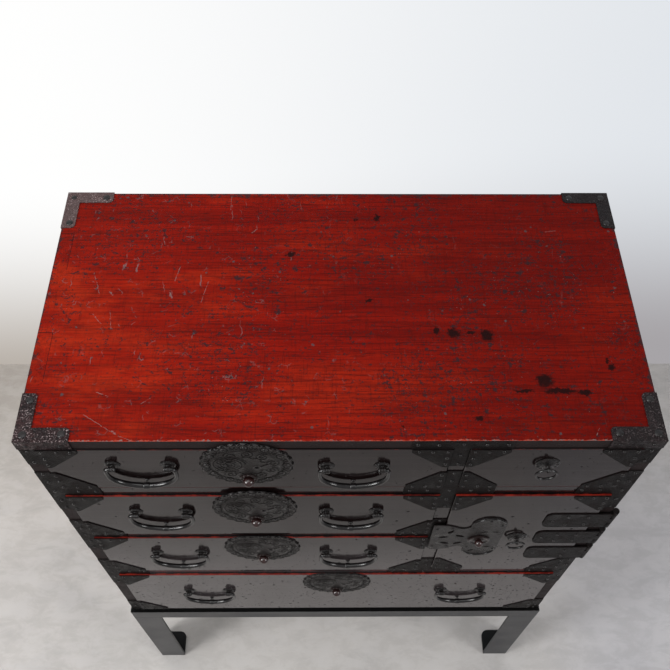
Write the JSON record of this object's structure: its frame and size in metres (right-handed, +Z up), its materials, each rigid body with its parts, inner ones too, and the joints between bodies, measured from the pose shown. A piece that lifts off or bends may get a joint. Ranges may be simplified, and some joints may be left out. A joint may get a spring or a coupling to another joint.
{
  "type": "clothing chest on stand",
  "caption": "Clothing chest with iron-bound lacquered drawers, a hinged cupboard door and hanging bail handles, on an angle-steel stand.",
  "frame": {"origin": "on the floor, under the middle of the whole object's box", "axes": "+Z up, the front looks along -Y, +X to the right of someone facing the front"},
  "size_m": [0.9546, 0.4905, 1.2865],
  "materials": {
    "red_lacquer": "worn deep red lacquer over grain",
    "black_lacquer": "semi-gloss black-brown lacquer, red on the edges",
    "plain_wood": "bare planed softwood",
    "old_iron": "dark pitted hand-worked iron",
    "dark_bright_iron": "dark polished iron",
    "stand_steel": "satin dark grey"
  },
  "bodies": {
    "chest": {"top_board": "red_lacquer", "left_side_board": "red_lacquer", "right_side_board": "red_lacquer", "bottom_board": "black_lacquer", "back_panel": "plain_wood", "centre_divider": "black_lacquer", "upper_shelf": "black_lacquer", "middle_shelf": "black_lacquer", "lower_shelf": "black_lacquer", "cupboard_floor": "black_lacquer", "stand_rails": "stand_steel", "stand_legs": "stand_steel", "stand_foot_plates": "stand_steel", "top_corner_irons": "old_iron", "stile_irons": "old_iron", "divider_irons": "old_iron", "side_hinge_leaves": "old_iron", "hinge_pins": "old_iron", "side_handle_posts": "dark_bright_iron"},
    "drawer_1": {"drawer_1_front": "black_lacquer", "drawer_1_box": "plain_wood", "drawer_1_corner_irons": "old_iron", "drawer_1_lock": "old_iron", "drawer_1_handle_posts": "dark_bright_iron"},
    "drawer_1_left_handle": {"drawer_1_left_bail": "dark_bright_iron"},
    "drawer_1_right_handle": {"drawer_1_right_bail": "dark_bright_iron"},
    "drawer_2": {"drawer_2_front": "black_lacquer", "drawer_2_box": "plain_wood", "drawer_2_corner_irons": "old_iron", "drawer_2_lock": "old_iron", "drawer_2_handle_posts": "dark_bright_iron"},
    "drawer_2_left_handle": {"drawer_2_left_bail": "dark_bright_iron"},
    "drawer_2_right_handle": {"drawer_2_right_bail": "dark_bright_iron"},
    "drawer_3": {"drawer_3_front": "black_lacquer", "drawer_3_box": "plain_wood", "drawer_3_corner_irons": "old_iron", "drawer_3_lock": "old_iron", "drawer_3_handle_posts": "dark_bright_iron"},
    "drawer_3_left_handle": {"drawer_3_left_bail": "dark_bright_iron"},
    "drawer_3_right_handle": {"drawer_3_right_bail": "dark_bright_iron"},
    "drawer_4": {"drawer_4_front": "black_lacquer", "drawer_4_box": "plain_wood", "drawer_4_corner_irons": "old_iron", "drawer_4_lock": "old_iron", "drawer_4_handle_posts": "dark_bright_iron"},
    "drawer_4_left_handle": {"drawer_4_left_bail": "dark_bright_iron"},
    "drawer_4_right_handle": {"drawer_4_right_bail": "dark_bright_iron"},
    "small_drawer": {"small_drawer_front": "black_lacquer", "small_drawer_box": "plain_wood", "small_drawer_corner_irons": "old_iron", "small_drawer_ring_post": "dark_bright_iron"},
    "small_drawer_ring_pull": {"small_drawer_ring": "dark_bright_iron"},
    "door": {"door_panel": "black_lacquer", "door_corner_irons": "old_iron", "door_lock": "old_iron", "door_ring_post": "dark_bright_iron", "door_hinge_straps": "old_iron"},
    "door_ring_pull": {"door_ring": "dark_bright_iron"},
    "left_carry_handle": {"left_carry_bail": "dark_bright_iron"},
    "right_carry_handle": {"right_carry_bail": "dark_bright_iron"}
  },
  "joints": [
    {"name": "drawer_1_slide", "type": "slide", "parent": "chest", "child": "drawer_1", "axis": [0, -1, 0], "range_m": [0, 0.36]},
    {"name": "drawer_1_left_handle_swing", "type": "hinge", "parent": "drawer_1", "child": "drawer_1_left_handle", "pos_m": [-0.292, -0.23275, 1.2135], "axis": [-1, 0, 0], "range_deg": [0, 165]},
    {"name": "drawer_1_right_handle_swing", "type": "hinge", "parent": "drawer_1", "child": "drawer_1_right_handle", "pos_m": [0.02, -0.23275, 1.208], "axis": [-1, 0, 0], "range_deg": [0, 165]},
    {"name": "drawer_2_slide", "type": "slide", "parent": "chest", "child": "drawer_2", "axis": [0, -1, 0], "range_m": [0, 0.36]},
    {"name": "drawer_2_left_handle_swing", "type": "hinge", "parent": "drawer_2", "child": "drawer_2_left_handle", "pos_m": [-0.292, -0.23475, 1.034], "axis": [-1, 0, 0], "range_deg": [0, 165]},
    {"name": "drawer_2_right_handle_swing", "type": "hinge", "parent": "drawer_2", "child": "drawer_2_right_handle", "pos_m": [0.02, -0.23475, 1.034], "axis": [-1, 0, 0], "range_deg": [0, 165]},
    {"name": "drawer_3_slide", "type": "slide", "parent": "chest", "child": "drawer_3", "axis": [0, -1, 0], "range_m": [0, 0.36]},
    {"name": "drawer_3_left_handle_swing", "type": "hinge", "parent": "drawer_3", "child": "drawer_3_left_handle", "pos_m": [-0.292, -0.23475, 0.8305], "axis": [-1, 0, 0], "range_deg": [0, 165]},
    {"name": "drawer_3_right_handle_swing", "type": "hinge", "parent": "drawer_3", "child": "drawer_3_right_handle", "pos_m": [0.02, -0.23475, 0.8305], "axis": [-1, 0, 0], "range_deg": [0, 165]},
    {"name": "drawer_4_slide", "type": "slide", "parent": "chest", "child": "drawer_4", "axis": [0, -1, 0], "range_m": [0, 0.36]},
    {"name": "drawer_4_left_handle_swing", "type": "hinge", "parent": "drawer_4", "child": "drawer_4_left_handle", "pos_m": [-0.266, -0.23575, 0.589], "axis": [-1, 0, 0], "range_deg": [0, 165]},
    {"name": "drawer_4_right_handle_swing", "type": "hinge", "parent": "drawer_4", "child": "drawer_4_right_handle", "pos_m": [0.26, -0.23575, 0.589], "axis": [-1, 0, 0], "range_deg": [0, 165]},
    {"name": "small_drawer_slide", "type": "slide", "parent": "chest", "child": "small_drawer", "axis": [0, -1, 0], "range_m": [0, 0.36]},
    {"name": "small_drawer_ring_swing", "type": "hinge", "parent": "small_drawer", "child": "small_drawer_ring_pull", "pos_m": [0.303, -0.23575, 1.213], "axis": [-1, 0, 0], "range_deg": [-10, 165]},
    {"name": "door_hinge", "type": "hinge", "parent": "chest", "child": "door", "pos_m": [0.4604, -0.22425, 0.909], "axis": [0, 0, 1], "range_deg": [0, 225]},
    {"name": "door_ring_swing", "type": "hinge", "parent": "door", "child": "door_ring_pull", "pos_m": [0.315, -0.23875, 0.911], "axis": [-1, 0, 0], "range_deg": [-10, 165]},
    {"name": "left_carry_handle_swing", "type": "hinge", "parent": "chest", "child": "left_carry_handle", "pos_m": [-0.4725, 0.02925, 1.225], "axis": [0, 1, 0], "range_deg": [-10, 165]},
    {"name": "right_carry_handle_swing", "type": "hinge", "parent": "chest", "child": "right_carry_handle", "pos_m": [0.4725, 0.02925, 1.225], "axis": [0, -1, 0], "range_deg": [-10, 165]}
  ]
}
